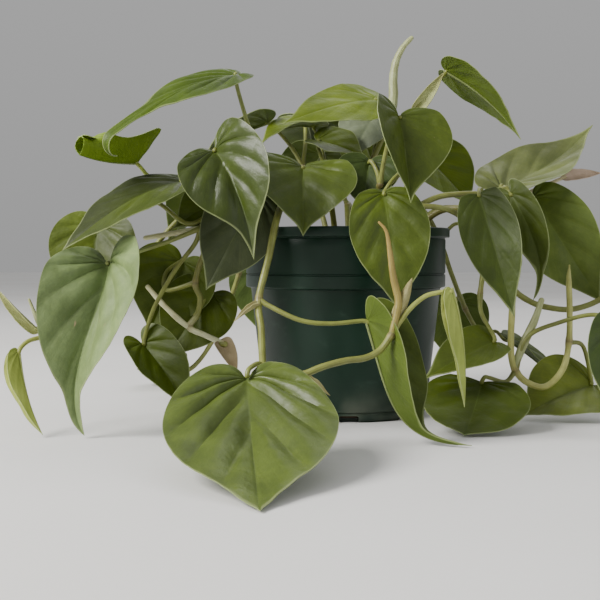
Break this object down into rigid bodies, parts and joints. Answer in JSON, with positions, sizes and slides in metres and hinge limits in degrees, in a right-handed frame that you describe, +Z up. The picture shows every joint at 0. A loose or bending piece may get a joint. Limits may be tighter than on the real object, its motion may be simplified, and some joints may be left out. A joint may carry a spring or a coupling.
{
  "type": "potted heartleaf philodendron",
  "caption": "Trailing heart-leaved houseplant whose leafy stems spill over the rim of a round tapered nursery pot and lie along the surface in front of it.",
  "frame": {"origin": "centre of the pot's flat bottom, on the surface that it stands on", "axes": "+Z up; the plant's front looks along -Y and its right, seen from the front, is +X"},
  "size_m": [0.4651, 0.4793, 0.2677],
  "materials": {
    "dark_green_plastic": "moulded, slightly satin dark green",
    "potting_mix": "loose dark peat and bark",
    "stem_front_green": "living leaf and stem, waxy and glossy on the upper side",
    "stem_left_green": "living leaf and stem, waxy and glossy on the upper side",
    "stem_far_left_green": "living leaf and stem, waxy and glossy on the upper side",
    "stem_low_left_green": "living leaf and stem, waxy and glossy on the upper side",
    "stem_crown_left_green": "living leaf and stem, waxy and glossy on the upper side",
    "stem_middle_green": "living leaf and stem, waxy and glossy on the upper side",
    "stem_right_front_green": "living leaf and stem, waxy and glossy on the upper side",
    "stem_right_green": "living leaf and stem, waxy and glossy on the upper side",
    "stem_low_right_green": "living leaf and stem, waxy and glossy on the upper side",
    "stem_far_right_green": "living leaf and stem, waxy and glossy on the upper side",
    "stem_right_back_green": "living leaf and stem, waxy and glossy on the upper side",
    "stem_top_green": "living leaf and stem, waxy and glossy on the upper side",
    "stem_back_left_green": "living leaf and stem, waxy and glossy on the upper side",
    "stem_back_middle_green": "living leaf and stem, waxy and glossy on the upper side",
    "stem_back_right_green": "living leaf and stem, waxy and glossy on the upper side",
    "stem_crown_back_green": "living leaf and stem, waxy and glossy on the upper side"
  },
  "bodies": {
    "root": {"pot": "dark_green_plastic", "potting_mix": "potting_mix", "stem_front": "stem_front_green", "stem_left": "stem_left_green", "stem_far_left": "stem_far_left_green", "stem_low_left": "stem_low_left_green", "stem_crown_left": "stem_crown_left_green", "stem_middle": "stem_middle_green", "stem_right_front": "stem_right_front_green", "stem_right": "stem_right_green", "stem_low_right": "stem_low_right_green", "stem_far_right": "stem_far_right_green", "stem_right_back": "stem_right_back_green", "stem_top": "stem_top_green", "stem_back_left": "stem_back_left_green", "stem_back_middle": "stem_back_middle_green", "stem_back_right": "stem_back_right_green", "stem_crown_back": "stem_crown_back_green"}
  },
  "joints": []
}
